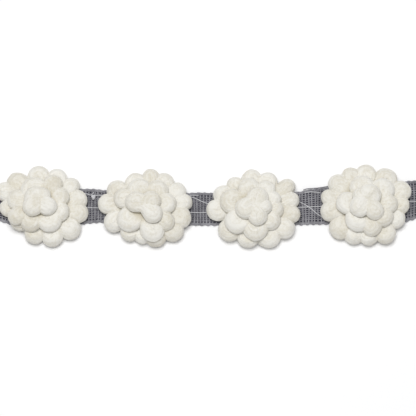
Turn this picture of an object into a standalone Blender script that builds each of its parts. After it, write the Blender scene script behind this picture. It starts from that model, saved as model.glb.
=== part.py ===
"""A cut length of flower trim: a woven tape with four puffy rosettes of yarn loops sewn along it.

Metres, +Z up. +X runs along the tape, +Y is its back edge, and the tape's underside lies on Z = 0.
Each rosette is three courses of padded loops, worked on a foundation ring and standing on the tape.
"""

import math
from collections import namedtuple

import bmesh
import bpy
from mathutils import Matrix, Vector

# Driving dimensions
TAPE_THICKNESS = 0.001
SEWN_GAP = 0.0003

# The tape, from its left cut end to its right one
TAPE_STATIONS = 48
TAPE_COLUMNS = 6
EDGE_ROLL_WIDTH = 0.0042

# How far to the back the tape's front and back edges lie, at places along it
TapePoint = namedtuple("TapePoint", "along front back")
TAPE_EDGES = (
    TapePoint(-0.0975, -0.0046, 0.0110),
    TapePoint(-0.0922, -0.0059, 0.0096),
    TapePoint(-0.0860, -0.0076, 0.0078),
    TapePoint(-0.0730, -0.0084, 0.0074),
    TapePoint(-0.0545, -0.0072, 0.0089),
    TapePoint(-0.0464, -0.0065, 0.0083),
    TapePoint(-0.0268, -0.0073, 0.0072),
    TapePoint(-0.0068, -0.0078, 0.0070),
    TapePoint(0.0014, -0.0079, 0.0070),
    TapePoint(0.0218, -0.0078, 0.0068),
    TapePoint(0.0419, -0.0077, 0.0075),
    TapePoint(0.0470, -0.0075, 0.0083),
    TapePoint(0.0540, -0.0074, 0.0095),
    TapePoint(0.0721, -0.0070, 0.0110),
    TapePoint(0.0896, -0.0063, 0.0125),
    TapePoint(0.0940, -0.0050, 0.0127),
    TapePoint(0.0975, -0.0041, 0.0128),
)

# Where the tape's back edge lifts off the surface between rosettes
EdgeRoll = namedtuple("EdgeRoll", "along reach lift")
EDGE_ROLLS = (
    EdgeRoll(-0.0492, 0.0046, 0.0009),
    EdgeRoll(-0.0022, 0.0050, 0.0008),
    EdgeRoll(0.0478, 0.0056, 0.0011),
)

# The courses of a rosette lie on each other, parted by shallow cones round its axis
COURSE_CLEARANCE = 0.0002
COURSE_EASE = 0.0008
Parting = namedtuple("Parting", "height slope")
ON_TAPE = Parting(TAPE_THICKNESS + SEWN_GAP - COURSE_CLEARANCE, 0.0)
OUTER_TOP = Parting(0.0034, 0.30)
MIDDLE_TOP = Parting(0.0074, 0.46)
OPEN_TOP = Parting(1.0, 0.0)

# Past the tape's edges the loops hang a little, as far as the surface that the trim lies on
SAG = 0.0011
SAG_START = 0.0012
SAG_REACH = 0.0050
SAG_HEIGHT = 0.0160

# A loop's own form: a BLUNTNESS under 1 squares its ends, and ROOT_SHARE is its root's girth next to its tip's
LOOP_SIDES = 10
LOOP_RINGS = 6
LOOP_FULLNESS = 1.10
BLUNTNESS = 0.72
ROOT_SHARE = 0.75

# The hollow of its eye, with the places and widths as shares of the loop's length and half width
EYE_DEPTH = 0.0009
EYE_CENTRE = 0.52
EYE_LENGTH = 0.24
EYE_WIDTH = 0.42

# The heart is worked on a tall knot rather than on a ring
KNOT_HEIGHT = 0.0044

# under and over are the partings that it lies between, and each place is a distance out from the axis and a height
Course = namedtuple(
    "Course", "under over root root_height tip_height arch thickness ring ring_height ring_girth"
)
COURSES = {
    "outer": Course(ON_TAPE, OUTER_TOP, 0.0060, 0.0031, 0.0037, 0.0005, 0.0072, 0.0100, 0.0026, 0.0036),
    "middle": Course(OUTER_TOP, MIDDLE_TOP, 0.0020, 0.0062, 0.0073, 0.0012, 0.0074, 0.0056, 0.0065, 0.0032),
    "heart": Course(MIDDLE_TOP, OPEN_TOP, -0.0026, 0.0105, 0.0101, 0.0014, 0.0076, 0.0, 0.0112, 0.0060),
}

# One row for each loop: its bearing in degrees from +X, how far out its tip is, its width, its roll and its tip's lift
Loop = namedtuple("Loop", "bearing reach width roll lift")
Rosette = namedtuple("Rosette", "name along across loops")
ROSETTES = (
    Rosette("rosette_1", -0.0729, 0.0003, {
        "outer": (
            Loop(9, 0.0204, 0.0084, 8, 0.0004),
            Loop(35, 0.0195, 0.0076, -6, 0.0002),
            Loop(62, 0.0186, 0.0086, 5, 0.0008),
            Loop(98, 0.0187, 0.0094, -8, 0.0002),
            Loop(137, 0.0204, 0.0092, 6, 0.0004),
            Loop(159, 0.0222, 0.0080, -12, 0.0002),
            Loop(184, 0.0192, 0.0076, 10, 0.0001),
            Loop(214, 0.0166, 0.0096, -6, 0.0002),
            Loop(256, 0.0177, 0.0090, -10, 0.0005),
            Loop(289, 0.0194, 0.0094, 5, 0.0003),
            Loop(320, 0.0212, 0.0092, -7, -0.0000),
            Loop(348, 0.0211, 0.0084, 6, 0.0001),
        ),
        "middle": (
            Loop(22, 0.0130, 0.0090, -10, -0.0007),
            Loop(62, 0.0146, 0.0086, 8, -0.0002),
            Loop(120, 0.0132, 0.0126, -4, 0.0003),
            Loop(171, 0.0156, 0.0092, 12, -0.0009),
            Loop(208, 0.0166, 0.0072, -14, 0.0009),
            Loop(240, 0.0142, 0.0092, 6, -0.0000),
            Loop(295, 0.0140, 0.0106, -5, 0.0003),
            Loop(335, 0.0134, 0.0090, 10, -0.0003),
        ),
        "heart": (
            Loop(88, 0.0066, 0.0076, -6, -0.0016),
            Loop(143, 0.0082, 0.0096, 10, -0.0010),
            Loop(209, 0.0088, 0.0084, -12, 0.0001),
            Loop(326, 0.0076, 0.0078, 14, -0.0005),
        ),
    }),
    Rosette("rosette_2", -0.0268, -0.0007, {
        "outer": (
            Loop(8, 0.0214, 0.0070, 10, 0.0001),
            Loop(28, 0.0203, 0.0080, -8, 0.0000),
            Loop(54, 0.0190, 0.0084, 6, -0.0001),
            Loop(80, 0.0183, 0.0072, -14, 0.0002),
            Loop(111, 0.0170, 0.0094, 8, 0.0003),
            Loop(148, 0.0196, 0.0088, -5, 0.0003),
            Loop(174, 0.0214, 0.0086, 6, 0.0004),
            Loop(205, 0.0199, 0.0086, -10, 0.0002),
            Loop(238, 0.0171, 0.0082, 7, 0.0004),
            Loop(265, 0.0164, 0.0070, -6, 0.0002),
            Loop(290, 0.0186, 0.0086, 9, 0.0004),
            Loop(320, 0.0211, 0.0092, -7, 0.0001),
            Loop(344, 0.0214, 0.0094, 5, 0.0009),
        ),
        "middle": (
            Loop(7, 0.0142, 0.0090, 8, 0.0009),
            Loop(52, 0.0138, 0.0096, -6, -0.0002),
            Loop(110, 0.0132, 0.0106, 5, 0.0004),
            Loop(160, 0.0148, 0.0086, -10, -0.0006),
            Loop(222, 0.0150, 0.0112, 6, -0.0005),
            Loop(287, 0.0170, 0.0098, -8, -0.0007),
            Loop(322, 0.0158, 0.0080, 12, -0.0008),
        ),
        "heart": (
            Loop(28, 0.0076, 0.0084, 10, 0.0003),
            Loop(166, 0.0088, 0.0086, -8, -0.0004),
            Loop(310, 0.0102, 0.0080, -6, 0.0004),
        ),
    }),
    Rosette("rosette_3", 0.0218, -0.0011, {
        "outer": (
            Loop(13, 0.0210, 0.0072, -8, 0.0003),
            Loop(34, 0.0218, 0.0067, 12, 0.0004),
            Loop(63, 0.0184, 0.0086, -5, 0.0007),
            Loop(93, 0.0183, 0.0088, 7, -0.0001),
            Loop(127, 0.0175, 0.0076, -12, 0.0001),
            Loop(156, 0.0195, 0.0090, 8, 0.0004),
            Loop(182, 0.0212, 0.0092, -6, 0.0004),
            Loop(222, 0.0197, 0.0098, 5, 0.0004),
            Loop(259, 0.0180, 0.0098, -8, 0.0003),
            Loop(299, 0.0195, 0.0108, 6, -0.0001),
            Loop(327, 0.0211, 0.0090, -7, 0.0005),
            Loop(352, 0.0212, 0.0074, 9, 0.0003),
        ),
        "middle": (
            Loop(22, 0.0130, 0.0070, 14, -0.0004),
            Loop(55, 0.0140, 0.0080, -6, -0.0008),
            Loop(104, 0.0136, 0.0098, 8, -0.0003),
            Loop(166, 0.0156, 0.0108, -5, -0.0000),
            Loop(222, 0.0158, 0.0108, 6, 0.0005),
            Loop(274, 0.0156, 0.0108, -7, -0.0008),
            Loop(320, 0.0142, 0.0086, 10, -0.0005),
            Loop(353, 0.0136, 0.0078, -12, -0.0008),
        ),
        "heart": (
            Loop(64, 0.0084, 0.0096, -10, -0.0009),
            Loop(205, 0.0088, 0.0090, 6, 0.0002),
            Loop(288, 0.0096, 0.0080, 12, -0.0002),
            Loop(348, 0.0080, 0.0068, -8, -0.0009),
        ),
    }),
    Rosette("rosette_4", 0.0721, 0.0008, {
        "outer": (
            Loop(21, 0.0216, 0.0090, -6, 0.0003),
            Loop(52, 0.0200, 0.0098, 5, 0.0000),
            Loop(89, 0.0186, 0.0092, -7, 0.0006),
            Loop(116, 0.0188, 0.0084, 8, -0.0001),
            Loop(143, 0.0200, 0.0086, -10, 0.0005),
            Loop(169, 0.0204, 0.0071, 6, -0.0001),
            Loop(191, 0.0208, 0.0084, -5, 0.0003),
            Loop(223, 0.0207, 0.0100, 7, 0.0000),
            Loop(248, 0.0191, 0.0082, -12, 0.0002),
            Loop(274, 0.0186, 0.0086, 6, 0.0004),
            Loop(303, 0.0204, 0.0092, -8, 0.0007),
            Loop(334, 0.0191, 0.0088, 10, 0.0001),
            Loop(359, 0.0196, 0.0078, 9, 0.0008),
        ),
        "middle": (
            Loop(38, 0.0148, 0.0104, 5, -0.0005),
            Loop(104, 0.0128, 0.0112, -6, -0.0006),
            Loop(182, 0.0138, 0.0098, 8, 0.0006),
            Loop(243, 0.0144, 0.0110, -5, -0.0003),
            Loop(282, 0.0156, 0.0080, 10, -0.0007),
            Loop(318, 0.0144, 0.0092, -8, 0.0000),
            Loop(357, 0.0142, 0.0084, 7, -0.0005),
        ),
        "heart": (
            Loop(62, 0.0078, 0.0100, 8, -0.0002),
            Loop(135, 0.0070, 0.0080, 6, -0.0016),
            Loop(221, 0.0088, 0.0090, -8, 0.0000),
            Loop(306, 0.0098, 0.0078, -12, -0.0006),
        ),
    }),
)


def smooth_step(value):
    """A rise from 0 to 1 with level ends."""
    share = min(1.0, max(0.0, value))
    return share * share * (3.0 - 2.0 * share)


def eased_above(value, low, ease):
    """The value where it is well over low, and never under low."""
    if value > low + ease:
        return value
    return low + ease * math.exp((value - low - ease) / ease)


def eased_below(value, high, ease):
    """The value where it is well under high, and never over high."""
    return -eased_above(-value, -high, ease)


def tape_edges(along):
    """How far to the back the tape's front and back edges lie here, on smooth curves through TAPE_EDGES."""
    spans = range(len(TAPE_EDGES) - 1)
    index = next((i for i in spans if along <= TAPE_EDGES[i + 1].along), spans[-1])
    start, end = TAPE_EDGES[index], TAPE_EDGES[index + 1]
    before = TAPE_EDGES[max(index - 1, 0)]
    after = TAPE_EDGES[min(index + 2, len(TAPE_EDGES) - 1)]
    length = end.along - start.along
    share = (along - start.along) / length
    square, cube = share**2, share**3
    edges = []
    for side in ("front", "back"):
        places = [getattr(point, side) for point in (before, start, end, after)]
        start_slope = (places[2] - places[0]) / (end.along - before.along) * length
        end_slope = (places[3] - places[1]) / (after.along - start.along) * length
        edges.append(
            (2 * cube - 3 * square + 1) * places[1]
            + (cube - 2 * square + share) * start_slope
            + (3 * square - 2 * cube) * places[2]
            + (cube - square) * end_slope
        )
    return edges


def edge_lift(along, from_back):
    """How far the tape is off the surface, this far in from its back edge."""
    near_edge = smooth_step(1 - from_back / EDGE_ROLL_WIDTH)
    lifts = (roll.lift * smooth_step(1 - abs(along - roll.along) / roll.reach) for roll in EDGE_ROLLS)
    return near_edge * sum(lifts)


def make_material(name, colour, roughness):
    """A Principled material of one colour."""
    material = bpy.data.materials.new(name)
    material.use_nodes = True
    shader = material.node_tree.nodes["Principled BSDF"]
    shader.inputs["Base Color"].default_value = (*colour, 1.0)
    shader.inputs["Roughness"].default_value = roughness
    shader.inputs["Metallic"].default_value = 0.0
    return material


def make_collection(name, shown):
    """A new collection of the scene, left out of renders where it only holds helpers."""
    collection = bpy.data.collections.new(name)
    collection.hide_render = not shown
    bpy.context.scene.collection.children.link(collection)
    return collection


def make_object(name, bm, collection, material):
    """An object with this mesh, shaded smooth."""
    mesh = bpy.data.meshes.new(name)
    bmesh.ops.recalc_face_normals(bm, faces=bm.faces)
    bm.to_mesh(mesh)
    bm.free()
    mesh.materials.append(material)
    mesh.shade_smooth()
    made = bpy.data.objects.new(name, mesh)
    collection.objects.link(made)
    return made


def make_tape(collection, material):
    """The woven tape: a flat sheet between its two edges, thickened upwards."""
    bm = bmesh.new()
    bmesh.ops.create_grid(bm, x_segments=TAPE_STATIONS, y_segments=TAPE_COLUMNS, size=1.0)
    for vert in bm.verts:
        along = vert.co.x * TAPE_EDGES[-1].along
        front, back = tape_edges(along)
        from_back = (back - front) * (1.0 - vert.co.y) / 2.0
        vert.co = Vector((along, back - from_back, edge_lift(along, from_back)))
    tape = make_object("tape", bm, collection, material)
    thickness = tape.modifiers.new("thickness", "SOLIDIFY")
    thickness.thickness = TAPE_THICKNESS
    thickness.offset = -1.0
    return tape


def in_course(point, course):
    """The point moved to between the partings of its course, in the rosette's own frame."""
    outward = math.hypot(point.x, point.y)
    low = course.under.height + course.under.slope * outward + COURSE_CLEARANCE
    high = course.over.height + course.over.slope * outward - COURSE_CLEARANCE
    height = eased_below(eased_above(point.z, low, COURSE_EASE), high, COURSE_EASE)
    return Vector((point.x, point.y, height))


def sagged(point):
    """The point let down past the tape's edges, where a loop has no tape under it."""
    front, back = tape_edges(point.x)
    past_edge = max(front - point.y, point.y - back) - SAG_START
    share = smooth_step(past_edge / SAG_REACH) * max(0.0, 1.0 - point.z / SAG_HEIGHT)
    return Vector((point.x, point.y, point.z - SAG * share))


def place_verts(verts, course, rosette):
    """Moves shaped vertices from the rosette's frame to where the rosette is sewn."""
    for vert in verts:
        point = in_course(vert.co, course)
        vert.co = sagged(point + Vector((rosette.along, rosette.across, 0.0)))


def make_loop(name, loop, course, rosette, collection, material):
    """One padded loop: a ball drawn out from its root to its tip, with the loop's eye pressed in."""
    bm = bmesh.new()
    bmesh.ops.create_uvsphere(bm, u_segments=LOOP_SIDES, v_segments=LOOP_RINGS, radius=1.0)
    root = Vector((course.root, 0.0, course.root_height))
    tip = Vector((loop.reach, 0.0, course.tip_height + loop.lift))
    spine = tip - root
    upward = Vector((-spine.z, 0.0, spine.x)).normalized()
    sideways = Vector((0.0, 1.0, 0.0))
    roll = Matrix.Rotation(math.radians(loop.roll), 3, spine)
    turn = Matrix.Rotation(math.radians(loop.bearing), 3, "Z")
    for vert in bm.verts:
        share = (math.copysign(abs(vert.co.z) ** BLUNTNESS, vert.co.z) + 1.0) / 2.0
        girth = max(1e-6, math.hypot(vert.co.x, vert.co.y))
        fullness = girth ** (BLUNTNESS - 1.0) * (ROOT_SHARE + (1.0 - ROOT_SHARE) * smooth_step(share))
        side = vert.co.x * fullness * LOOP_FULLNESS * loop.width / 2
        rise = vert.co.y * fullness * course.thickness / 2
        eye = math.exp(-(((share - EYE_CENTRE) / EYE_LENGTH) ** 2) - (vert.co.x / EYE_WIDTH) ** 2)
        rise -= EYE_DEPTH * eye * max(0.0, vert.co.y)
        arch = course.arch * 4.0 * share * (1.0 - share)
        across = roll @ (sideways * side + upward * rise)
        vert.co = turn @ (root + spine * share + upward * arch + across)
    place_verts(bm.verts, course, rosette)
    return make_object(name, bm, collection, material)


def make_foundation(name, course, rosette, collection, material):
    """What a course's loops are worked on: a ring, or a knot on the axis for the heart."""
    girth = course.ring_girth / 2
    bm = bmesh.new()
    if course.ring:
        bpy.ops.mesh.primitive_torus_add(
            major_segments=24,
            minor_segments=6,
            major_radius=course.ring,
            minor_radius=girth,
            location=(0.0, 0.0, 0.0),
        )
        torus = bpy.context.object
        bm.from_mesh(torus.data)
        bpy.data.meshes.remove(torus.data)
    else:
        bmesh.ops.create_uvsphere(bm, u_segments=10, v_segments=8, radius=girth)
        bmesh.ops.scale(bm, verts=bm.verts, vec=(1.0, 1.0, KNOT_HEIGHT / course.ring_girth))
    bmesh.ops.translate(bm, verts=bm.verts, vec=(0.0, 0.0, course.ring_height))
    place_verts(bm.verts, course, rosette)
    return make_object(name, bm, collection, material)


def make_course(rosette, key, parts, material):
    """One course of a rosette: its foundation and loops, joined into a single body."""
    course = COURSES[key]
    name = f"{rosette.name}_{key}"
    loops = make_collection(f"{name}_loops", shown=False)
    body = make_foundation(name, course, rosette, parts, material)
    for number, loop in enumerate(rosette.loops[key], start=1):
        helper = make_loop(f"{name}_loop_{number}", loop, course, rosette, loops, material)
        helper.display_type = "WIRE"
        helper.hide_render = True
    join = body.modifiers.new("join loops", "BOOLEAN")
    join.operation = "UNION"
    join.operand_type = "COLLECTION"
    join.collection = loops
    return body


def main():
    """Builds the trim in an empty scene."""
    for old in list(bpy.data.objects):
        bpy.data.objects.remove(old)
    parts = make_collection("flower_trim", shown=True)
    tape_cloth = make_material("grey tape", (0.17, 0.165, 0.19), 0.9)
    loop_yarn = make_material("ivory yarn", (0.80, 0.78, 0.70), 0.95)
    make_tape(parts, tape_cloth)
    for rosette in ROSETTES:
        for key in COURSES:
            make_course(rosette, key, parts, loop_yarn)


main()
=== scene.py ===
"""Dresses the flower trim: padded yarn loops, the woven tape under them and the threads that hold them.

Metres, +Z up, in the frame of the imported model. +X runs along the tape, and +Y is its back edge.
"""

import logging
import math
import random
from dataclasses import dataclass, field
from enum import Enum

import bpy
from mathutils import Matrix, Vector, noise


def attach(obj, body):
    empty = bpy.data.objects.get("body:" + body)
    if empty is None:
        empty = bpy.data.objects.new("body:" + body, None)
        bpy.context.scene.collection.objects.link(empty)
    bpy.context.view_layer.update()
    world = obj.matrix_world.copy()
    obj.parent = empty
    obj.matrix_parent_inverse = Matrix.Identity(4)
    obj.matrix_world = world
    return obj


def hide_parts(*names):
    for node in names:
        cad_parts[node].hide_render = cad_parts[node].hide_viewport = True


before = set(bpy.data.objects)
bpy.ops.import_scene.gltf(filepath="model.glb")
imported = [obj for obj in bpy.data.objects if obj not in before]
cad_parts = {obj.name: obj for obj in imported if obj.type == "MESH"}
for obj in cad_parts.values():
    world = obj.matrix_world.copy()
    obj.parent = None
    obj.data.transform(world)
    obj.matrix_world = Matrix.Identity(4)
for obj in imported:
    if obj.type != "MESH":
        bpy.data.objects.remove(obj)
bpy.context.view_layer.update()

LOG = logging.getLogger("flower_trim")
MM = 0.001
TURN = 2 * math.pi

# The same values as in the part's source, so that each piece lies where its solid does
TAPE_THICKNESS = 0.001
SEWN_GAP = 0.0003
EDGE_ROLL_WIDTH = 0.0042
TAPE_EDGES = (
    (-0.0975, -0.0046, 0.0110),
    (-0.0922, -0.0059, 0.0096),
    (-0.0860, -0.0076, 0.0078),
    (-0.0730, -0.0084, 0.0074),
    (-0.0545, -0.0072, 0.0089),
    (-0.0464, -0.0065, 0.0083),
    (-0.0268, -0.0073, 0.0072),
    (-0.0068, -0.0078, 0.0070),
    (0.0014, -0.0079, 0.0070),
    (0.0218, -0.0078, 0.0068),
    (0.0419, -0.0077, 0.0075),
    (0.0470, -0.0075, 0.0083),
    (0.0540, -0.0074, 0.0095),
    (0.0721, -0.0070, 0.0110),
    (0.0896, -0.0063, 0.0125),
    (0.0940, -0.0050, 0.0127),
    (0.0975, -0.0041, 0.0128),
)
EDGE_ROLLS = ((-0.0492, 0.0046, 0.0009), (-0.0022, 0.0050, 0.0008), (0.0478, 0.0056, 0.0011))

COURSE_CLEARANCE = 0.0001
COURSE_EASE = 0.0008
SAG = 0.0011
SAG_START = 0.0012
SAG_REACH = 0.0050
SAG_HEIGHT = 0.0160
LOOP_FULLNESS = 1.10
ROOT_SHARE = 0.75
KNOT_HEIGHT = 0.0044


class Slot(Enum):
    """The record's material slots."""

    IVORY_YARN = "ivory_yarn"
    GREY_TAPE = "grey_tape"


class CourseName(Enum):
    """The courses of loops of a rosette, from the tape up."""

    OUTER = "outer"
    MIDDLE = "middle"
    HEART = "heart"


def smooth_step(value: float) -> float:
    """Returns a rise from 0 to 1 with level ends."""
    share = min(1.0, max(0.0, value))
    return share * share * (3.0 - 2.0 * share)


def eased_above(value: float, low: float, ease: float) -> float:
    """Keeps a value over a limit.

    Args:
        value: The value.
        low: What it stays over.
        ease: How far over the limit it starts to be held back.

    Returns:
        The value where it is well over the limit, and never less than the limit.
    """
    if value > low + ease:
        return value
    return low + ease * math.exp((value - low - ease) / ease)


def curve_through(points: list[Vector], steps: int) -> list[Vector]:
    """Draws a smooth curve through points.

    Args:
        points: The points that it passes through, in order.
        steps: How many steps it takes from each point to the next.

    Returns:
        The curve's points, with the first and the last one as given.
    """
    curve = []
    for index in range(len(points) - 1):
        start, end = points[index], points[index + 1]
        before = points[index - 1] if index else start + (start - end)
        after = points[index + 2] if index + 2 < len(points) else end + (end - start)
        for step in range(steps):
            t = step / steps
            curve.append(
                0.5
                * (
                    2 * start
                    + (end - before) * t
                    + (2 * before - 5 * start + 4 * end - after) * t**2
                    + (3 * start - before - 3 * end + after) * t**3
                )
            )
    curve.append(points[-1].copy())
    return curve


class Value:
    """A shader socket that Python's operators work on, each adding its Math node."""

    def __init__(self, tree: "FinishTree", socket: bpy.types.NodeSocket) -> None:
        """Wraps a socket.

        Args:
            tree: The node tree that it is in.
            socket: An output socket.
        """
        self.tree = tree
        self.socket = socket

    def maths(self, operation: str, *others: "Value | float") -> "Value":
        """Adds a Math node.

        Args:
            operation: The node's operation.
            others: What it works on after this value.

        Returns:
            The node's result.
        """
        sockets = dict(enumerate((self, *others)))
        return self.tree.node("ShaderNodeMath", {"operation": operation}, sockets)

    def __add__(self, other: "Value | float") -> "Value":
        """Adds."""
        return self.maths("ADD", other)

    def __sub__(self, other: "Value | float") -> "Value":
        """Subtracts."""
        return self.maths("SUBTRACT", other)

    def __rsub__(self, other: float) -> "Value":
        """Subtracts from a number."""
        return self * -1.0 + other

    def __mul__(self, other: "Value | float") -> "Value":
        """Multiplies."""
        return self.maths("MULTIPLY", other)

    def __truediv__(self, other: "Value | float") -> "Value":
        """Divides."""
        return self.maths("DIVIDE", other)

    __radd__ = __add__
    __rmul__ = __mul__

    def sine(self) -> "Value":
        """The sine."""
        return self.maths("SINE")

    def cosine(self) -> "Value":
        """The cosine."""
        return self.maths("COSINE")

    def between(self, low: float, high: float) -> "Value":
        """Spreads a range over 0 to 1 and holds it there.

        Args:
            low: What becomes 0.
            high: What becomes 1.

        Returns:
            The spread value.
        """
        sockets = {"Value": self, "From Min": low, "From Max": high}
        return self.tree.node("ShaderNodeMapRange", {"interpolation_type": "SMOOTHSTEP"}, sockets)


class FinishTree:
    """The nodes of one material."""

    def __init__(self, name: str) -> None:
        """Makes a material with its shader alone.

        Args:
            name: The material's name.
        """
        self.material = bpy.data.materials.new(name)
        self.material.use_nodes = True
        self.nodes = self.material.node_tree.nodes
        self.links = self.material.node_tree.links
        self.shader = self.nodes["Principled BSDF"]

    def put(self, socket: bpy.types.NodeSocket, content: "Value | float | tuple") -> None:
        """Links a value to a socket, or sets a number or colour on it.

        Args:
            socket: An input socket.
            content: What goes into it.
        """
        if isinstance(content, Value):
            self.links.new(content.socket, socket)
        else:
            socket.default_value = content

    def node(
        self,
        kind: str,
        settings: dict[str, object] | None = None,
        sockets: dict[int | str, object] | None = None,
        result: int | str = 0,
    ) -> Value:
        """Adds a node.

        Args:
            kind: The node's type.
            settings: Its settings, set first. "stops" are a ramp's places and colours.
            sockets: Its inputs, by name or number.
            result: The output that is wanted.

        Returns:
            The output.
        """
        node = self.nodes.new(kind)
        for key, setting in (settings or {}).items():
            if key == "stops":
                while len(node.color_ramp.elements) < len(setting):
                    node.color_ramp.elements.new(1.0)
                for element, (place, colour) in zip(node.color_ramp.elements, setting):
                    element.position, element.color = place, (*colour, 1.0)
            else:
                setattr(node, key, setting)
        for key, content in (sockets or {}).items():
            self.put(node.inputs[key], content)
        return Value(self, node.outputs[result])

    def dress(self, sockets: dict[str, object]) -> bpy.types.Material:
        """Sets the shader's own sockets.

        Args:
            sockets: What goes into them, by name.

        Returns:
            The finished material.
        """
        for key, content in sockets.items():
            self.put(self.shader.inputs[key], content)
        return self.material

    def attribute(self, name: str) -> Value:
        """A number that the mesh keeps at each point."""
        return self.node("ShaderNodeAttribute", {"attribute_name": name}, result="Fac")

    def place(self) -> Value:
        """The Object coordinates."""
        return self.node("ShaderNodeTexCoord", result="Object")

    def noise(self, place: Value, scale: float, detail: float = 3.0) -> Value:
        """A cloudy value from 0 to 1.

        Args:
            place: Where it is read.
            scale: How many clouds there are to a unit of place.
            detail: How many finer clouds are added.

        Returns:
            The value.
        """
        return self.node("ShaderNodeTexNoise", {}, {"Vector": place, "Scale": scale, "Detail": detail})

    def strands(self, around: float, along: float, twist: float, phase: float = 0.0) -> Value:
        """Long fibres that follow a yarn, from the mesh's yarn map.

        Args:
            around: How fine they are round the yarn.
            along: How short they are along it.
            twist: How many turns they take to each centimetre.
            phase: Moves them, so that two sets differ.

        Returns:
            A value from 0 to 1.
        """
        spot = self.node("ShaderNodeUVMap", {"uv_map": "yarn"})
        round_share = self.node("ShaderNodeSeparateXYZ", {}, {0: spot}, "X")
        length = self.node("ShaderNodeSeparateXYZ", {}, {0: spot}, "Y")
        angle = (round_share + length * twist) * TURN
        sockets = {
            0: angle.cosine() * around + phase,
            1: angle.sine() * around + self.attribute("tone") * 17.0,
            2: length * along,
        }
        return self.noise(self.node("ShaderNodeCombineXYZ", {}, sockets), 1.0)

    def mix(self, share: Value | float, low: Value | tuple, high: Value | tuple) -> Value:
        """Mixes two colours.

        Args:
            share: How much there is of the second.
            low: The first colour.
            high: The second colour.

        Returns:
            The mixed colour.
        """
        return self.node("ShaderNodeMix", {"data_type": "RGBA"}, {0: share, 6: low, 7: high}, 2)

    def bump(self, height: Value, depth: float, strength: float) -> Value:
        """Turns a height into a normal.

        Args:
            height: From 0 to 1.
            depth: What 1 stands for, in metres.
            strength: How much of it shows.

        Returns:
            The normal.
        """
        return self.node("ShaderNodeBump", {}, {"Height": height, "Distance": depth, "Strength": strength})


@dataclass(frozen=True)
class LoopYarnFinish:
    """Soft matt ivory roving, with painted warm shade in its creases, under its yarns and at its loops' roots."""

    light: tuple = (0.800, 0.785, 0.733, 1.0)
    warm: tuple = (0.660, 0.622, 0.522, 1.0)
    # Painted shade: a darker warm colour for creases, yarn undersides and loop roots, where shade falls.
    hollow: tuple = (0.600, 0.550, 0.425, 1.0)
    fibre_depth: float = 0.0006
    roughness: float = 0.95

    def make(self) -> bpy.types.Material:
        """Returns the material."""
        tree = FinishTree("ivory_roving")
        clouds = tree.noise(tree.place(), 160.0)
        tufts = tree.noise(tree.place(), 1100.0)
        coarse = tree.strands(3.2, 1.2, 0.18)
        fine = tree.strands(9.0, 2.6, 0.18, 5.0)
        streaks = coarse * 0.55 + fine * 0.45
        grain = streaks * 0.45 + clouds * 0.25 + tufts * 0.3
        shade = grain.between(0.58, 0.40) * 0.7 + tree.attribute("tone") * 0.3
        body = tree.mix(shade, self.light, self.warm)
        # Paints that shade in, as much as each point's shade attribute asks.
        colour = tree.mix(tree.attribute("hollow").between(0.15, 1.0), body, self.hollow)
        return tree.dress(
            {
                "Base Color": colour,
                "Roughness": self.roughness,
                "Specular IOR Level": 0.15,
                "Sheen Weight": 0.25,
                "Sheen Roughness": 0.6,
                "Normal": tree.bump(streaks * 0.62 + tufts * 0.38, self.fibre_depth, 0.8),
            }
        )


@dataclass(frozen=True)
class TapeYarnFinish:
    """Grey spun yarn in two plies, each yarn of a shade of its own."""

    name: str
    dark: tuple = (0.150, 0.148, 0.165, 1.0)
    pale: tuple = (0.290, 0.288, 0.310, 1.0)
    ply_turns: float = 9.0
    ply_depth: float = 0.00012
    roughness: float = 0.85

    def make(self) -> bpy.types.Material:
        """Returns the material."""
        tree = FinishTree(self.name)
        fibres = tree.strands(4.0, 9.0, 2.0)
        spot = tree.node("ShaderNodeUVMap", {"uv_map": "yarn"})
        round_share = tree.node("ShaderNodeSeparateXYZ", {}, {0: spot}, "X")
        length = tree.node("ShaderNodeSeparateXYZ", {}, {0: spot}, "Y")
        plies = ((round_share * 2.0 + length * self.ply_turns) * TURN).sine() * 0.5 + 0.5
        patches = tree.noise(tree.place(), 260.0)
        worn = tree.noise(tree.place(), 75.0, 1.0)
        shade = tree.attribute("tone") * 0.15 + fibres * 0.3 + patches * 0.5 + worn * 0.4 + plies * 0.1
        return tree.dress(
            {
                "Base Color": tree.mix(shade.between(0.45, 1.0), self.dark, self.pale),
                "Roughness": self.roughness,
                "Specular IOR Level": 0.3,
                "Sheen Weight": 0.15,
                "Normal": tree.bump(plies * 0.6 + fibres * 0.4, self.ply_depth, 0.7),
            }
        )


@dataclass(frozen=True)
class TapeShadeSheetFinish:
    """Painted shade: the colour of a dark sheet that stands for the deep shade seen between the tape's yarns."""

    dark: tuple = (0.020, 0.020, 0.030, 1.0)
    pale: tuple = (0.060, 0.060, 0.078, 1.0)

    def make(self) -> bpy.types.Material:
        """Returns the material."""
        tree = FinishTree("tape_shade_sheet_shade")
        patches = tree.noise(tree.place(), 420.0)
        return tree.dress(
            {
                "Base Color": tree.mix(patches.between(0.35, 0.75), self.dark, self.pale),
                "Roughness": 0.95,
                "Specular IOR Level": 0.1,
                "Normal": tree.bump(patches, 0.0001, 0.6),
            }
        )


@dataclass(frozen=True)
class ThreadFinish:
    """Pale sewing thread with a tight twist."""

    dark: tuple = (0.480, 0.480, 0.510, 1.0)
    pale: tuple = (0.760, 0.760, 0.780, 1.0)
    ply_turns: float = 22.0

    def make(self) -> bpy.types.Material:
        """Returns the material."""
        tree = FinishTree("pale_sewing_thread")
        spot = tree.node("ShaderNodeUVMap", {"uv_map": "yarn"})
        round_share = tree.node("ShaderNodeSeparateXYZ", {}, {0: spot}, "X")
        length = tree.node("ShaderNodeSeparateXYZ", {}, {0: spot}, "Y")
        plies = ((round_share * 2.0 + length * self.ply_turns) * TURN).sine() * 0.5 + 0.5
        fibres = tree.strands(3.0, 12.0, 3.0)
        return tree.dress(
            {
                "Base Color": tree.mix(plies * 0.6 + fibres * 0.4, self.dark, self.pale),
                "Roughness": 0.6,
                "Sheen Weight": 0.1,
                "Normal": tree.bump(plies, 0.00008, 0.7),
            }
        )


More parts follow.
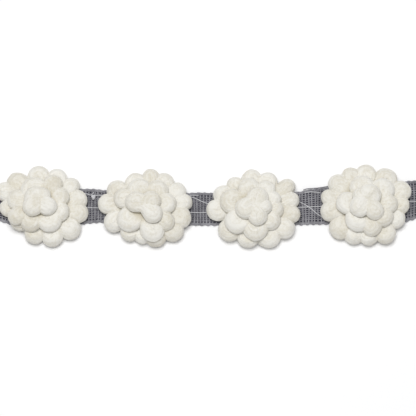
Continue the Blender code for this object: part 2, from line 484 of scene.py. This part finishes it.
@dataclass(frozen=True)
class FloorFinish:
    """Plain near-white paper."""

    colour: tuple = (0.95, 0.95, 0.955, 1.0)
    shade: tuple = (0.93, 0.93, 0.935, 1.0)

    def make(self) -> bpy.types.Material:
        """Returns the material."""
        tree = FinishTree("studio_paper")
        grain = tree.noise(tree.place(), 900.0)
        colour = tree.mix(grain, self.colour, self.shade)
        return tree.dress({"Base Color": colour, "Roughness": 0.9, "Specular IOR Level": 0.1})


@dataclass
class YarnMesh:
    """Gathers lengths of yarn into one mesh.

    Its yarn map has the share of the way round a yarn and the centimetres along it. Each point keeps the tone of its
    yarn and how much painted shade it takes in creases, under its yarn and at a loop's root.
    """

    points: list[Vector] = field(default_factory=list)
    tones: list[float] = field(default_factory=list)
    painted_shades: list[float] = field(default_factory=list)
    faces: list[tuple[int, ...]] = field(default_factory=list)
    spots: list[tuple[float, float]] = field(default_factory=list)

    def add_point(self, point: Vector, tone: float, hollow: float) -> int:
        """Adds a point.

        Args:
            point: Where it is.
            tone: The tone of its yarn.
            hollow: How much painted shade it takes, from 0 to 1.

        Returns:
            Its number.
        """
        self.points.append(point)
        self.tones.append(tone)
        self.painted_shades.append(hollow)
        return len(self.points) - 1

    def add_length(
        self,
        rings: list[list[Vector]],
        lengths: list[float],
        tone: float,
        painted_shades: list[list[float]] | None = None,
    ) -> None:
        """Adds a length of yarn, closed at both ends.

        Args:
            rings: The points round the yarn, ring by ring, each turning to the left as seen along the yarn.
            lengths: How far along the yarn each ring is, in metres.
            tone: The yarn's tone, from 0 to 1.
            painted_shades: How much painted shade each point takes, ring by ring.
        """
        sides = len(rings[0])
        painted_shades = painted_shades or [[0.0] * sides for _ in rings]
        numbers = [
            [self.add_point(point, tone, hollow) for point, hollow in zip(ring, painted_ring_shades)]
            for ring, painted_ring_shades in zip(rings, painted_shades)
        ]
        places = [length * 100 for length in lengths]
        for index in range(len(rings) - 1):
            low, high = numbers[index], numbers[index + 1]
            for side in range(sides):
                after = (side + 1) % sides
                self.faces.append((low[side], low[after], high[after], high[side]))
                for share, place in ((side, 0), (side + 1, 0), (side + 1, 1), (side, 1)):
                    self.spots.append((share / sides, places[index + place]))
        for end, ring in ((0, numbers[0]), (-1, numbers[-1])):
            middle = sum(rings[end], Vector()) / sides
            pole = self.add_point(middle, tone, painted_shades[end][0])
            for side in range(sides):
                after = (side + 1) % sides
                pair = (ring[after], ring[side]) if end == 0 else (ring[side], ring[after])
                shares = (side + 1, side) if end == 0 else (side, side + 1)
                self.faces.append((*pair, pole))
                for share in (*shares, side + 0.5):
                    self.spots.append((share / sides, places[end]))

    def add_line(self, line: list[Vector], wide: float, high: float, tone: float, sides: int = 6) -> None:
        """Adds a yarn of one thickness that follows a line and lies flat.

        Args:
            line: The points that it follows.
            wide: Half its width.
            high: Half its height.
            tone: Its tone, from 0 to 1.
            sides: How many points there are round it.
        """
        rings, lengths, length = [], [], 0.0
        for index, centre in enumerate(line):
            before, after = line[max(index - 1, 0)], line[min(index + 1, len(line) - 1)]
            ahead = (after - before).normalized()
            across = Vector((0.0, 0.0, 1.0)).cross(ahead).normalized()
            upward = ahead.cross(across)
            length += (centre - before).length if index else 0.0
            lengths.append(length)
            rings.append(
                [
                    centre + across * (wide * math.cos(turn)) + upward * (high * math.sin(turn))
                    for turn in (TURN * side / sides for side in range(sides))
                ]
            )
        self.add_length(rings, lengths, tone)

    def make(self, name: str, material: bpy.types.Material) -> bpy.types.Object:
        """Makes the object.

        Args:
            name: Its name.
            material: Its finish.

        Returns:
            The object, shaded smooth, with its place in its mesh.
        """
        mesh = bpy.data.meshes.new(name)
        mesh.from_pydata(self.points, [], self.faces)
        # Keeps each point's painted shade for the shader.
        for key, numbers in (("tone", self.tones), ("hollow", self.painted_shades)):
            mesh.attributes.new(key, "FLOAT", "POINT").data.foreach_set("value", numbers)
        flat = [number for spot in self.spots for number in spot]
        mesh.uv_layers.new(name="yarn").data.foreach_set("uv", flat)
        mesh.materials.append(material)
        mesh.shade_smooth()
        made = bpy.data.objects.new(name, mesh)
        bpy.context.scene.collection.objects.link(made)
        return made


def settle(piece: bpy.types.Object) -> bpy.types.Object:
    """Makes a piece ride on the trim and logs its faces.

    Args:
        piece: The piece.

    Returns:
        The piece.
    """
    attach(piece, "root")
    LOG.info("%s: %d faces", piece.name, len(piece.data.polygons))
    return piece


@dataclass
class TapeBed:
    """Where the tape lies, which its yarns, the threads and the loops all go by."""

    edges_table: tuple = TAPE_EDGES
    rolls: tuple = EDGE_ROLLS

    def edges(self, along: float) -> tuple[float, float]:
        """Finds the tape's edges.

        Args:
            along: A place along the tape.

        Returns:
            How far to the back its front and back edges lie there.
        """
        table = self.edges_table
        spans = range(len(table) - 1)
        index = next((i for i in spans if along <= table[i + 1][0]), spans[-1])
        before, start = table[max(index - 1, 0)], table[index]
        end, after = table[index + 1], table[min(index + 2, len(table) - 1)]
        length = end[0] - start[0]
        share = (along - start[0]) / length
        square, cube = share**2, share**3
        found = []
        for side in (1, 2):
            start_slope = (end[side] - before[side]) / (end[0] - before[0]) * length
            end_slope = (after[side] - start[side]) / (after[0] - start[0]) * length
            found.append(
                (2 * cube - 3 * square + 1) * start[side]
                + (cube - 2 * square + share) * start_slope
                + (3 * square - 2 * cube) * end[side]
                + (cube - square) * end_slope
            )
        return found[0], found[1]

    def lift(self, along: float, from_back: float) -> float:
        """Finds how far the tape is off the surface.

        Args:
            along: A place along the tape.
            from_back: How far in from its back edge.

        Returns:
            The height of its underside.
        """
        near_edge = smooth_step(1 - from_back / EDGE_ROLL_WIDTH)
        rolls = (lift * smooth_step(1 - abs(along - at) / reach) for at, reach, lift in self.rolls)
        return near_edge * sum(rolls)

    def spot(self, along: float, share: float, height: float) -> Vector:
        """Finds a place on the tape.

        Args:
            along: How far along it.
            share: How far across it, from 0 at its front edge to 1 at its back edge.
            height: How far over its underside.

        Returns:
            The place.
        """
        front, back = self.edges(along)
        across = front + (back - front) * share
        return Vector((along, across, self.lift(along, back - across) + height))

    def on_top(self, along: float, across: float, height: float = 0.0) -> Vector:
        """Finds a place over the tape.

        Args:
            along: How far along it.
            across: How far to the back.
            height: How far over the tape's upper face.

        Returns:
            The place.
        """
        back = self.edges(along)[1]
        return Vector((along, across, self.lift(along, back - across) + TAPE_THICKNESS + height))


@dataclass
class WovenTape:
    """The grey tape: a dark sheet of painted shade, one weft that runs to and fro, and warp rows that are close at the
    edges.
    """

    bed: TapeBed
    half_length: float = 0.0975
    pick_pitch: float = 0.00139
    warp_rows: int = 13
    edge_rows: int = 3
    edge_band: float = 0.075
    weft_wide: float = 0.00034
    weft_high: float = 0.00024
    warp_wide: float = 0.00026
    warp_high: float = 0.00021
    turn_front: float = -0.003
    turn_back: float = 0.990
    sway: float = 0.00022
    drift: float = 0.009
    lip: tuple = ((0.0443, 0.0083), (0.0462, 0.0087), (0.0500, 0.0090), (0.0532, 0.0096), (0.0556, 0.0101))
    weave_height: float = 0.00052
    crimp: float = 0.00020
    # Where the sheet of painted shade lies in the weave, and how thick it is.
    shade_sheet_height: float = 0.00040
    shade_sheet_thickness: float = 0.00014
    seed: int = 7

    def rows(self) -> list[tuple[float, float]]:
        """Returns where each warp row lies across the tape, as a share, and its half width."""
        edge = [(0.018 + self.edge_band * i / self.edge_rows, 0.9) for i in range(self.edge_rows)]
        inner = [
            (self.edge_band + 0.03 + (1 - 2 * self.edge_band - 0.06) * (i + 0.5) / self.warp_rows, 1.0)
            for i in range(self.warp_rows)
        ]
        mirrored = [(1 - share, wide) for share, wide in reversed(edge)]
        return [(share, wide * self.warp_wide) for share, wide in edge + inner + mirrored]

    def picks(self) -> int:
        """Returns how many times the weft crosses the tape."""
        return int(2 * self.half_length / self.pick_pitch)

    def make_shade_sheet(self) -> bpy.types.Object:
        """Returns the thin dark sheet of painted shade in the middle of the weave, which shows between the yarns."""
        bpy.ops.object.select_all(action="DESELECT")
        bpy.ops.mesh.primitive_grid_add(x_subdivisions=160, y_subdivisions=14, size=2.0)
        shade_sheet = bpy.context.object
        shade_sheet.name = "tape_shade_sheet"
        for vert in shade_sheet.data.vertices:
            share = 0.5 + vert.co.y * 0.488
            vert.co = self.bed.spot(vert.co.x * (self.half_length - 0.0004), share, self.shade_sheet_height)
        wall = shade_sheet.modifiers.new("wall", "SOLIDIFY")
        wall.thickness, wall.offset = self.shade_sheet_thickness, 1.0
        bpy.ops.object.modifier_apply(modifier=wall.name)
        shade_sheet.data.materials.clear()
        # Painted shade: the sheet's dark finish stands in for the shade seen through the gaps of the weave.
        shade_sheet.data.materials.append(TapeShadeSheetFinish().make())
        shade_sheet.data.shade_smooth()
        return shade_sheet

    def make_weft(self, finish: bpy.types.Material) -> bpy.types.Object:
        """Makes the weft.

        Args:
            finish: Its material.

        Returns:
            The weft, one yarn with a small turn at each edge.
        """
        shaker = random.Random(self.seed)
        yarn = YarnMesh()
        rows = [share for share, _ in self.rows()]
        pitch = 2 * self.half_length / self.picks()
        line = []
        for pick in range(self.picks()):
            along = -self.half_length + (pick + 0.5) * pitch
            sway = shaker.uniform(-self.sway, self.sway)
            tilt = shaker.uniform(-self.sway, self.sway)
            crossing = []
            for number, share in enumerate(rows):
                over = self.crimp if (number + pick) % 2 else -self.crimp
                wander = sway * math.sin(share * 5 + pick) + tilt * (share - 0.5)
                crossing.append(self.bed.spot(along + wander, share, self.weave_height + over))
            line += crossing if pick % 2 else reversed(crossing)
            turn = self.turn_back if pick % 2 else self.turn_front
            turn_along = min(along + pitch / 2, self.half_length - self.weft_wide)
            line.append(self.bed.spot(turn_along, turn, self.weave_height))
        yarn.add_line(curve_through(line, 2), self.weft_wide, self.weft_high, 0.5, 6)
        return yarn.make("tape_weft", finish)

    def make_warp(self, finish: bpy.types.Material) -> bpy.types.Object:
        """Makes the warp.

        Args:
            finish: Its material.

        Returns:
            All its rows.
        """
        shaker = random.Random(self.seed + 1)
        yarn = YarnMesh()
        pitch = 2 * self.half_length / self.picks()
        for number, (share, wide) in enumerate(self.rows()):
            line = []
            for pick in range(self.picks()):
                along = -self.half_length + (pick + 0.5) * pitch
                over = -self.crimp if (number + pick) % 2 else self.crimp
                drift = self.drift * noise.noise(Vector((along * 120, number * 3.1, 0.0)))
                line.append(self.bed.spot(along, share + drift, self.weave_height + over))
            yarn.add_line(curve_through(line, 2), wide, self.warp_high, shaker.random(), 6)
        lip = [self.bed.on_top(along, across, -0.0001) for along, across in self.lip]
        yarn.add_line(curve_through(lip, 8), 0.8 * self.warp_wide, 1.3 * self.warp_high, 0.1, 8)
        return yarn.make("tape_warp", finish)

    def build(self) -> None:
        """Makes the tape and puts it in the place of its node."""
        shade_sheet = settle(self.make_shade_sheet())
        weft_finish = TapeYarnFinish("grey_weft_yarn", pale=(0.385, 0.381, 0.409, 1.0))
        weft = settle(self.make_weft(weft_finish.make()))
        warp_finish = TapeYarnFinish("grey_warp_yarn", pale=(0.355, 0.351, 0.379, 1.0))
        warp = settle(self.make_warp(warp_finish.make()))
        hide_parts("tape")


@dataclass
class SewingThreads:
    """The pale threads that hold the rosettes and show between them."""

    bed: TapeBed
    radius: float = 0.00019
    rest_height: float = 0.00005
    centre: tuple = (
        (-0.0970, 0.0012), (-0.0900, 0.0008), (-0.0730, 0.0004), (-0.0549, 0.0002), (-0.0506, 0.0001),
        (-0.0268, -0.0010), (-0.0059, -0.0021), (0.0005, -0.0021), (0.0218, -0.0010), (0.0410, 0.0002),
        (0.0521, 0.0007), (0.0721, 0.0018), (0.0914, 0.0030), (0.0970, 0.0030),
    )
    loose: tuple = (
        ((-0.0560, 0.0074), (-0.0532, 0.0064), (-0.0516, 0.0060), (-0.0506, 0.0064), (-0.0500, 0.0072)),
        ((-0.0506, 0.0056), (-0.0480, 0.0058), (-0.0458, 0.0057)),
        ((-0.0070, 0.0052), (-0.0052, 0.0047), (-0.0018, 0.0032), (0.0013, 0.0019), (0.0040, 0.0012)),
        ((-0.0070, 0.0058), (-0.0045, 0.0058), (-0.0028, 0.0057)),
        ((0.0410, 0.0035), (0.0426, 0.0028), (0.0470, 0.0002), (0.0506, -0.0029), (0.0530, -0.0044)),
        ((0.0447, 0.0071), (0.0480, 0.0072), (0.0518, 0.0070)),
    )

    knot_place: tuple = (-0.0502, 0.0049)
    knot_girth: float = 0.00034
    knot_size: tuple = (0.00026, 0.00034, 0.00030)

    def knot(self) -> list[Vector]:
        """Returns the line of the small fluffed knot that stands on the tape."""
        middle = self.bed.on_top(*self.knot_place, self.knot_girth + self.knot_size[2])
        wide, deep, high = self.knot_size
        turns = (TURN * step / 40 for step in range(41))
        return [
            middle
            + Vector(
                (
                    wide * (math.sin(turn) + 2 * math.sin(2 * turn)),
                    deep * (math.cos(turn) - 2 * math.cos(2 * turn)),
                    -high * math.sin(3 * turn),
                )
            )
            for turn in turns
        ]

    def build(self) -> None:
        """Makes each thread."""
        finish = ThreadFinish().make()
        yarn = YarnMesh()
        for number, line in enumerate((self.centre, *self.loose)):
            points = [self.bed.on_top(along, across, self.rest_height) for along, across in line]
            smooth = curve_through(points, 10)
            for index, point in enumerate(smooth):
                point.z += 0.00008 * math.sin(index * 1.7)
                point.y += 0.0001 * noise.noise(Vector((point.x * 400, number * 5.0, 0.0)))
            yarn.add_line(smooth, self.radius, self.radius * 0.8, 0.5, 8)
        yarn.add_line(self.knot(), self.knot_girth, self.knot_girth, 0.5, 8)
        settle(yarn.make("sewing_threads", finish))


@dataclass(frozen=True)
class Parting:
    """The surface where two courses rest on each other: a shallow cone round the rosette's axis."""

    height: float
    slope: float

    def at(self, outward: float) -> float:
        """Returns its height, this far out from the axis."""
        return self.height + self.slope * outward


ON_TAPE = Parting(TAPE_THICKNESS + SEWN_GAP - COURSE_CLEARANCE, 0.0)
OUTER_TOP = Parting(0.0034, 0.30)
MIDDLE_TOP = Parting(0.0074, 0.46)
OPEN_TOP = Parting(1.0, 0.0)


@dataclass(frozen=True)
class Course:
    """One course of loops: what it lies between, where its loops start and end, and its ring or knot."""

    under: Parting
    over: Parting
    root: float
    root_height: float
    tip_height: float
    arch: float
    thickness: float
    ring: float
    ring_height: float
    ring_girth: float
    eye: float
    # How much painted shade its loops take towards their roots.
    root_shade: float


COURSES = {
    CourseName.OUTER: Course(ON_TAPE, OUTER_TOP, 0.0060, 0.0031, 0.0037, 0.0005, 0.0072, 0.0100, 0.0026, 0.0036, 0.8, 0.8),
    CourseName.MIDDLE: Course(OUTER_TOP, MIDDLE_TOP, 0.0020, 0.0062, 0.0073, 0.0012, 0.0074, 0.0056, 0.0065, 0.0032, 0.3, 0.8),
    CourseName.HEART: Course(MIDDLE_TOP, OPEN_TOP, -0.0026, 0.0105, 0.0101, 0.0014, 0.0076, 0.0, 0.0112, 0.0060, 0.1, 0.2),
}


@dataclass(frozen=True)
class Loop:
    """A padded loop: its bearing in degrees from +X, how far out its tip is, its width, its roll and its tip's lift."""

    bearing: float
    reach: float
    width: float
    roll: float
    lift: float


@dataclass
class LoopYarn:
    """How a loop is laid: a thick soft yarn that goes out, round the loop's eye and back."""

    share: float = 0.74
    widest: float = 0.0040
    eye_depth: float = 0.0007
    eye_place: float = 0.56
    eye_length: float = 0.0016
    eye_width: float = 0.0009
    meeting: float = 0.0013
    fill: float = 0.00042
    leg_steps: int = 20
    bend_steps: int = 20
    sides: int = 54
    plies: int = 11
    ply_height: float = 0.00013
    ply_turns: float = 35.0
    lump: float = 0.00026
    lump_size: float = 0.0032
    grain: float = 0.00007
    grain_size: float = 0.0009

    def line(self, half: float, yarn: float, length: float) -> list[Vector]:
        """Lays the yarn's middle line flat, out along X with the eye on the axis.

        Args:
            half: Half the loop's width.
            yarn: Half the yarn's width.
            length: From the loop's root to its tip.

        Returns:
            The line, from the root round the tip and back.
        """
        apart = half - yarn
        turn = max(0.3 * length, length - yarn - apart * 1.15)
        deep = length - yarn - turn
        leg = [
            Vector((turn * share, apart * (0.42 + 0.58 * smooth_step(share * 1.25)), 0.0))
            for share in (step / self.leg_steps for step in range(self.leg_steps))
        ]
        bend = [
            Vector((turn + deep * math.sin(angle), apart * math.cos(angle), 0.0))
            for angle in (math.pi * step / self.bend_steps for step in range(self.bend_steps + 1))
        ]
        return [*leg, *bend, *(Vector((point.x, -point.y, 0.0)) for point in reversed(leg))]


@dataclass
class Rosette:
    """A rosette: its place on the tape and the loops of its three courses."""

    name: str
    along: float
    across: float
    loops: dict[CourseName, tuple[Loop, ...]]
    bed: TapeBed
    yarn: LoopYarn = field(default_factory=LoopYarn)

    def in_course(self, point: Vector, course: Course) -> Vector:
        """Moves a point to between what its course rests on and what rests on it.

        Args:
            point: A point in the rosette's own frame.
            course: The course that it is in.

        Returns:
            The moved point.
        """
        outward = math.hypot(point.x, point.y)
        height = eased_above(point.z, course.under.at(outward) + COURSE_CLEARANCE, COURSE_EASE)
        height = -eased_above(-height, COURSE_CLEARANCE - course.over.at(outward), COURSE_EASE)
        return Vector((point.x, point.y, height))

    def sewn(self, point: Vector, course: Course) -> Vector:
        """Moves a point to where the rosette is sewn.

        Args:
            point: A point in the rosette's own frame.
            course: The course that it is in.

        Returns:
            The point on the trim, let down a little past the tape's edges.
        """
        placed = self.in_course(point, course) + Vector((self.along, self.across, 0.0))
        front, back = self.bed.edges(placed.x)
        past_edge = max(front - placed.y, placed.y - back) - SAG_START
        share = smooth_step(past_edge / SAG_REACH) * max(0.0, 1.0 - placed.z / SAG_HEIGHT)
        placed.z -= SAG * share
        return placed

    def add_loop(self, loop: Loop, course: Course, seed: float, yarn_mesh: YarnMesh) -> None:
        """Works one loop.

        Args:
            loop: The loop.
            course: Its course.
            seed: A number of its own, which its unevenness comes from.
            yarn_mesh: The mesh that it goes into.
        """
        make = self.yarn
        root = Vector((course.root, 0.0, course.root_height))
        spine = Vector((loop.reach, 0.0, course.tip_height + loop.lift)) - root
        upward = Vector((-spine.z, 0.0, spine.x)).normalized()
        ahead = spine.normalized()
        sideways = Vector((0.0, 1.0, 0.0))
        roll = Matrix.Rotation(math.radians(loop.roll), 3, spine)
        turn = Matrix.Rotation(math.radians(loop.bearing), 3, "Z")
        half = LOOP_FULLNESS * loop.width / 2
        yarn = min(make.share * half, make.widest)
        line = make.line(half, yarn, spine.length)
        tone = noise.cell(Vector((seed * 7.3, 1.7, 0.0)))
        rings, painted_shades, lengths, length = [], [], [], 0.0
        for index, centre in enumerate(line):
            before, after = line[max(index - 1, 0)], line[min(index + 1, len(line) - 1)]
            step = (after - before).normalized()
            outer = Vector((-step.y, step.x, 0.0))
            length += (centre - before).length if index else 0.0
            share = min(1.0, max(0.0, centre.x / spine.length))
            girth = ROOT_SHARE + (1.0 - ROOT_SHARE) * smooth_step(share * 1.4)
            end = min(index, len(line) - 1 - index)
            girth *= min(1.0, 0.55 + 0.25 * end)
            arch = course.arch * 4.0 * share * (1.0 - share)
            ring, painted_ring_shades = [], []
            for side in range(make.sides):
                around = TURN * side / make.sides
                ply = abs(math.cos(0.5 * make.plies * (around + length * make.ply_turns)))
                free = 1.0 - smooth_step((-math.cos(around) - 0.1) / 0.6)
                swell = make.ply_height * (ply - 0.6) * free
                wide = yarn * girth + swell
                high = course.thickness / 2 * girth + swell
                flat = centre + outer * (wide * math.cos(around))
                local = Vector((flat.x, flat.y, high * math.sin(around)))
                spot = local + Vector((seed * 0.1, seed * 0.07, 0.0))
                rough = make.lump * noise.noise(spot / make.lump_size)
                rough += make.grain * noise.noise(spot / make.grain_size)
                local += (outer * math.cos(around) + Vector((0.0, 0.0, math.sin(around)))) * (rough * free)
                near = max(0.0, 1.0 - abs(local.y) / make.meeting)
                local.z += make.fill * near * near * math.sin(around)
                eye = ((local.x - make.eye_place * spine.length) / make.eye_length) ** 2
                eye += (local.y / make.eye_width) ** 2
                local.z -= make.eye_depth * course.eye * math.exp(-eye) * max(0.0, math.sin(around))
                across = roll @ (sideways * local.y + upward * local.z)
                point = turn @ (root + ahead * local.x + upward * arch + across)
                ring.append(self.sewn(point, course))
                # Painted shade at each point: the crease between the loop's legs (inner), the yarn's underside (under)
                # and the loop's root.
                inner = smooth_step(1.0 - math.hypot(local.y, 0.6 * (1 - share) * yarn) / (0.55 * yarn))
                under = 0.45 * smooth_step(-1.2 * math.sin(around))
                painted_ring_shades.append(max(inner * 0.3, under, course.root_shade * smooth_step((0.66 - share) / 0.5)))
            rings.append(ring)
            painted_shades.append(painted_ring_shades)
            lengths.append(length)
        yarn_mesh.add_length(rings, lengths, tone, painted_shades)

    def make_foundation(self, name: str, course: Course, finish: bpy.types.Material) -> bpy.types.Object:
        """Makes what the loops of a course are worked on.

        Args:
            name: The piece's name.
            course: The course.
            finish: Its material.

        Returns:
            A ring, or a tall knot under the heart.
        """
        bpy.ops.object.select_all(action="DESELECT")
        girth = course.ring_girth / 2
        if course.ring:
            bpy.ops.mesh.primitive_torus_add(
                major_segments=64, minor_segments=12, major_radius=course.ring, minor_radius=girth
            )
        else:
            bpy.ops.mesh.primitive_uv_sphere_add(segments=32, ring_count=20, radius=girth)
        made = bpy.context.object
        made.name = name
        for vert in made.data.vertices:
            point = vert.co.copy()
            if not course.ring:
                point.z *= KNOT_HEIGHT / course.ring_girth
            point += vert.normal * (0.0004 * noise.noise(point * 500))
            vert.co = self.sewn(point + Vector((0.0, 0.0, course.ring_height)), course)
        made.data.materials.append(finish)
        made.data.shade_smooth()
        return made

    def build(self, finish: bpy.types.Material) -> None:
        """Makes the three courses and puts each in the place of its node.

        Args:
            finish: The loops' material.
        """
        for order, (key, course) in enumerate(COURSES.items()):
            node = f"{self.name}_{key.value}"
            yarn_mesh = YarnMesh()
            for number, loop in enumerate(self.loops[key]):
                seed = self.along * 1000 + order * 31 + number * 3.7
                self.add_loop(loop, course, seed, yarn_mesh)
            loops = settle(yarn_mesh.make(f"{node}_loops", finish))
            ring = settle(self.make_foundation(f"{node}_foundation", course, finish))
            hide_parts(node)
            ring.data.name = ring.name


ROSETTE_ROWS = {
    ("rosette_1", -0.0729, 0.0003): (
        ((9, 20.4, 8.4, 8, 0.4), (35, 19.5, 7.6, -6, 0.2), (62, 18.6, 8.6, 5, 0.8), (98, 18.7, 9.4, -8, 0.2),
         (137, 20.4, 9.2, 6, 0.4), (159, 22.2, 8.0, -12, 0.2), (184, 19.2, 7.6, 10, 0.1),
         (214, 16.6, 9.6, -6, 0.2), (256, 17.7, 9.0, -10, 0.5), (289, 19.4, 9.4, 5, 0.3),
         (320, 21.2, 9.2, -7, -0.0), (348, 21.1, 8.4, 6, 0.1)),
        ((22, 13.0, 9.0, -10, -0.7), (62, 14.6, 8.6, 8, -0.2), (120, 13.2, 12.6, -4, 0.3),
         (171, 15.6, 9.2, 12, -0.9), (208, 16.6, 7.2, -14, 0.9), (240, 14.2, 9.2, 6, -0.0),
         (295, 14.0, 10.6, -5, 0.3), (335, 13.4, 9.0, 10, -0.3)),
        ((88, 6.6, 7.6, -6, -1.6), (143, 8.2, 9.6, 10, -1.0), (209, 8.8, 8.4, -12, 0.1),
         (326, 7.6, 7.8, 14, -0.5)),
    ),
    ("rosette_2", -0.0268, -0.0007): (
        ((8, 21.4, 7.0, 10, 0.1), (28, 20.3, 8.0, -8, 0.0), (54, 19.0, 8.4, 6, -0.1), (80, 18.3, 7.2, -14, 0.2),
         (111, 17.0, 9.4, 8, 0.3), (148, 19.6, 8.8, -5, 0.3), (174, 21.4, 8.6, 6, 0.4),
         (205, 19.9, 8.6, -10, 0.2), (238, 17.1, 8.2, 7, 0.4), (265, 16.4, 7.0, -6, 0.2),
         (290, 18.6, 8.6, 9, 0.4), (320, 21.1, 9.2, -7, 0.1), (344, 21.4, 9.4, 5, 0.9)),
        ((7, 14.2, 9.0, 8, 0.9), (52, 13.8, 9.6, -6, -0.2), (110, 13.2, 10.6, 5, 0.4),
         (160, 14.8, 8.6, -10, -0.6), (222, 15.0, 11.2, 6, -0.5), (287, 17.0, 9.8, -8, -0.7),
         (322, 15.8, 8.0, 12, -0.8)),
        ((28, 7.6, 8.4, 10, 0.3), (166, 8.8, 8.6, -8, -0.4), (310, 10.2, 8.0, -6, 0.4)),
    ),
    ("rosette_3", 0.0218, -0.0011): (
        ((13, 21.0, 7.2, -8, 0.3), (34, 21.8, 6.7, 12, 0.4), (63, 18.4, 8.6, -5, 0.7), (93, 18.3, 8.8, 7, -0.1),
         (127, 17.5, 7.6, -12, 0.1), (156, 19.5, 9.0, 8, 0.4), (182, 21.2, 9.2, -6, 0.4),
         (222, 19.7, 9.8, 5, 0.4), (259, 18.0, 9.8, -8, 0.3), (299, 19.5, 10.8, 6, -0.1),
         (327, 21.1, 9.0, -7, 0.5), (352, 21.2, 7.4, 9, 0.3)),
        ((22, 13.0, 7.0, 14, -0.4), (55, 14.0, 8.0, -6, -0.8), (104, 13.6, 9.8, 8, -0.3),
         (166, 15.6, 10.8, -5, -0.0), (222, 15.8, 10.8, 6, 0.5), (274, 15.6, 10.8, -7, -0.8),
         (320, 14.2, 8.6, 10, -0.5), (353, 13.6, 7.8, -12, -0.8)),
        ((64, 8.4, 9.6, -10, -0.9), (205, 8.8, 9.0, 6, 0.2), (288, 9.6, 8.0, 12, -0.2),
         (348, 8.0, 6.8, -8, -0.9)),
    ),
    ("rosette_4", 0.0721, 0.0008): (
        ((21, 21.6, 9.0, -6, 0.3), (52, 20.0, 9.8, 5, 0.0), (89, 18.6, 9.2, -7, 0.6), (116, 18.8, 8.4, 8, -0.1),
         (143, 20.0, 8.6, -10, 0.5), (169, 20.4, 7.1, 6, -0.1), (191, 20.8, 8.4, -5, 0.3),
         (223, 20.7, 10.0, 7, 0.0), (248, 19.1, 8.2, -12, 0.2), (274, 18.6, 8.6, 6, 0.4),
         (303, 20.4, 9.2, -8, 0.7), (334, 19.1, 8.8, 10, 0.1), (359, 19.6, 7.8, 9, 0.8)),
        ((38, 14.8, 10.4, 5, -0.5), (104, 12.8, 11.2, -6, -0.6), (182, 13.8, 9.8, 8, 0.6),
         (243, 14.4, 11.0, -5, -0.3), (282, 15.6, 8.0, 10, -0.7), (318, 14.4, 9.2, -8, 0.0),
         (357, 14.2, 8.4, 7, -0.5)),
        ((62, 7.8, 10.0, 8, -0.2), (135, 7.0, 8.0, 6, -1.6), (221, 8.8, 9.0, -8, 0.0),
         (306, 9.8, 7.8, -12, -0.6)),
    ),
}


def rosettes(bed: TapeBed) -> list[Rosette]:
    """Reads the table of rosettes.

    Args:
        bed: The tape that they are sewn to.

    Returns:
        The four rosettes.
    """
    made = []
    for (name, along, across), courses in ROSETTE_ROWS.items():
        loops = {
            key: tuple(
                Loop(bearing, reach * MM, width * MM, roll, lift * MM) for bearing, reach, width, roll, lift in rows
            )
            for key, rows in zip(CourseName, courses)
        }
        made.append(Rosette(name, along, across, loops, bed))
    return made


@dataclass
class Studio:
    """The pale floor, the soft light and the camera."""

    elevation: float = 77.0
    frame_width: float = 0.1872
    lens: float = 200.0
    sensor: float = 36.0
    aim: tuple = (0.00135, 0.0002, 0.0)
    sky: float = 0.42
    overhead: float = 12.0

    def make_camera(self) -> None:
        """Makes the camera, as far off as its lens needs for the frame."""
        data = bpy.data.cameras.new("camera")
        data.lens, data.sensor_width = self.lens, self.sensor
        distance = self.frame_width * self.lens / self.sensor
        data.clip_start, data.clip_end = 0.05, 20.0
        tilt = math.radians(self.elevation)
        camera = bpy.data.objects.new("camera", data)
        away = Vector((0.0, -math.cos(tilt), math.sin(tilt)))
        camera.location = Vector(self.aim) + away * distance
        camera.rotation_euler = (math.pi / 2 - tilt, 0.0, 0.0)
        bpy.context.scene.collection.objects.link(camera)
        bpy.context.scene.camera = camera

    def make_light(self) -> None:
        """Makes an even sky and one broad soft light over the back of the trim."""
        world = bpy.data.worlds.new("soft sky")
        world.use_nodes = True
        world.node_tree.nodes["Background"].inputs["Color"].default_value = (1.0, 1.0, 1.0, 1.0)
        world.node_tree.nodes["Background"].inputs["Strength"].default_value = self.sky
        bpy.context.scene.world = world
        data = bpy.data.lights.new("soft box", "AREA")
        data.shape, data.size, data.energy = "DISK", 0.6, self.overhead
        lamp = bpy.data.objects.new("soft box", data)
        lamp.location = (-0.08, 0.12, 1.30)
        lamp.rotation_euler = (Vector((0.0, 0.0, 0.0)) - lamp.location).to_track_quat("-Z", "Y").to_euler()
        bpy.context.scene.collection.objects.link(lamp)

    def make_floor(self) -> None:
        """Makes the floor."""
        bpy.ops.object.select_all(action="DESELECT")
        bpy.ops.mesh.primitive_plane_add(size=6.0, location=(0.0, 0.0, -0.00005))
        floor = bpy.context.object
        floor.name = "studio_floor"
        floor.data.materials.append(FloorFinish().make())

    def build(self) -> None:
        """Makes the whole studio, with colours shown as they are."""
        self.make_camera()
        self.make_light()
        self.make_floor()
        bpy.context.scene.view_settings.view_transform = "Standard"


def main() -> None:
    """Builds the trim and its studio."""
    logging.basicConfig(level=logging.INFO, format="%(message)s")
    bed = TapeBed()
    Studio().build()
    WovenTape(bed).build()
    SewingThreads(bed).build()
    finish = LoopYarnFinish().make()
    for rosette in rosettes(bed):
        rosette.build(finish)
        LOG.info("%s is sewn on", rosette.name)


if __name__ == "__main__":
    main()
